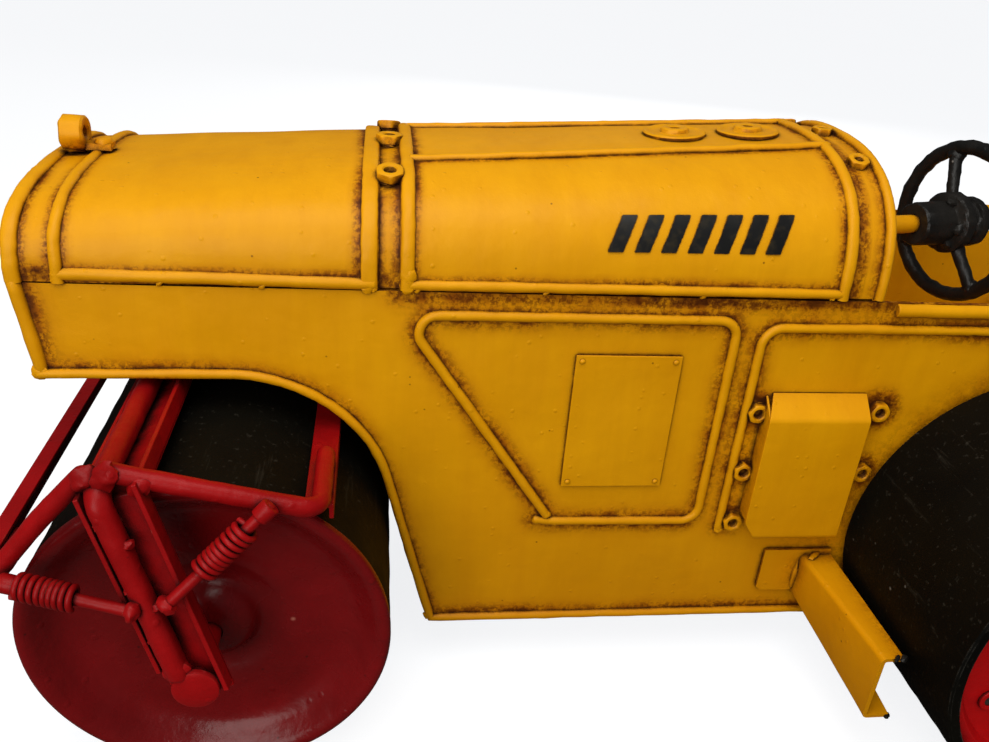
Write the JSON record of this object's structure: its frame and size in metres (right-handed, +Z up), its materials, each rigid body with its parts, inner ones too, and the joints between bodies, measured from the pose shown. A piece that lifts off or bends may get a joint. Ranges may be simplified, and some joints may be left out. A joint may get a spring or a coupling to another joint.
{
  "type": "toy road roller",
  "caption": "Hand-made sheet-metal toy road roller with a steered front roll in a fork, wide rear rolls, a bolted hood and an open cab.",
  "frame": {"origin": "on the ground, under the centre of the bounding box", "axes": "+X towards the rear of the roller (the front roll is at -X), +Y towards its right side, +Z up"},
  "size_m": [0.3398, 0.219, 0.162],
  "materials": {
    "yellow_paint": "worn satin enamel, warm yellow with brown grime",
    "red_paint": "worn gloss enamel, dark red",
    "black_paint": "brushed satin enamel, black",
    "tread_paint": "dull black enamel, scuffed"
  },
  "bodies": {
    "chassis": {"access_plate_left": "yellow_paint", "access_plate_right": "yellow_paint", "belly_plate": "yellow_paint", "box_cover_left": "yellow_paint", "box_cover_right": "yellow_paint", "cab_floor": "yellow_paint", "deck_cap_front": "yellow_paint", "deck_cap_rear": "yellow_paint", "firewall": "yellow_paint", "handrail_left": "yellow_paint", "handrail_right": "yellow_paint", "hood_end_band": "yellow_paint", "hood_front": "yellow_paint", "hood_joint_strip": "yellow_paint", "hood_rear": "yellow_paint", "king_pin_bracket": "yellow_paint", "lifting_eye": "yellow_paint", "nose_panel": "yellow_paint", "rear_axle": "black_paint", "rear_axle_nut_left": "red_paint", "rear_axle_nut_right": "red_paint", "rear_panel": "yellow_paint", "seat": "black_paint", "seat_pedestal": "yellow_paint", "side_panel_left": "yellow_paint", "side_panel_right": "yellow_paint", "steering_column": "yellow_paint", "step_left": "yellow_paint", "step_right": "yellow_paint"},
    "fork": {"yoke": "red_paint", "fork_tube_left": "red_paint", "fork_tube_right": "red_paint", "king_pin": "red_paint", "king_pin_nut": "yellow_paint", "front_axle": "red_paint", "axle_cap_left": "red_paint", "axle_cap_right": "red_paint", "rear_rail_left": "red_paint", "rear_rail_right": "red_paint", "front_rail_left": "red_paint", "front_rail_right": "red_paint", "rear_scraper_bar": "red_paint", "front_scraper_bar": "red_paint", "rear_spring_rod_left": "red_paint", "rear_spring_rod_right": "red_paint", "front_spring_rod_left": "red_paint", "front_spring_rod_right": "red_paint", "rear_spring_left": "red_paint", "rear_spring_right": "red_paint", "front_spring_left": "red_paint", "front_spring_right": "red_paint"},
    "drum": {"drum_shell": "tread_paint", "drum_disc_left": "red_paint", "drum_disc_right": "red_paint"},
    "rear_wheel_left": {"rear_roll_left": "tread_paint", "rear_wheel_centre_left": "red_paint"},
    "rear_wheel_right": {"rear_roll_right": "tread_paint", "rear_wheel_centre_right": "red_paint"},
    "steering_wheel": {"steering_wheel": "black_paint"}
  },
  "joints": [
    {"name": "steering", "type": "hinge", "parent": "chassis", "child": "fork", "pos_m": [-0.13361, 0, 0.1], "axis": [0, 0, 1], "range_deg": [-2.5, 2.5]},
    {"name": "front_roll_spin", "type": "hinge", "parent": "fork", "child": "drum", "pos_m": [-0.1191, 0, 0.0454], "axis": [0, 1, 0], "continuous": true},
    {"name": "rear_left_spin", "type": "hinge", "parent": "chassis", "child": "rear_wheel_left", "pos_m": [0.1175, -0.078, 0.0524], "axis": [0, 1, 0], "continuous": true},
    {"name": "rear_right_spin", "type": "hinge", "parent": "chassis", "child": "rear_wheel_right", "pos_m": [0.1175, 0.078, 0.0524], "axis": [0, 1, 0], "continuous": true},
    {"name": "steering_wheel_spin", "type": "hinge", "parent": "chassis", "child": "steering_wheel", "pos_m": [0.104, 0, 0.1343], "axis": [0.9781, 0.2079, 0], "continuous": true}
  ]
}
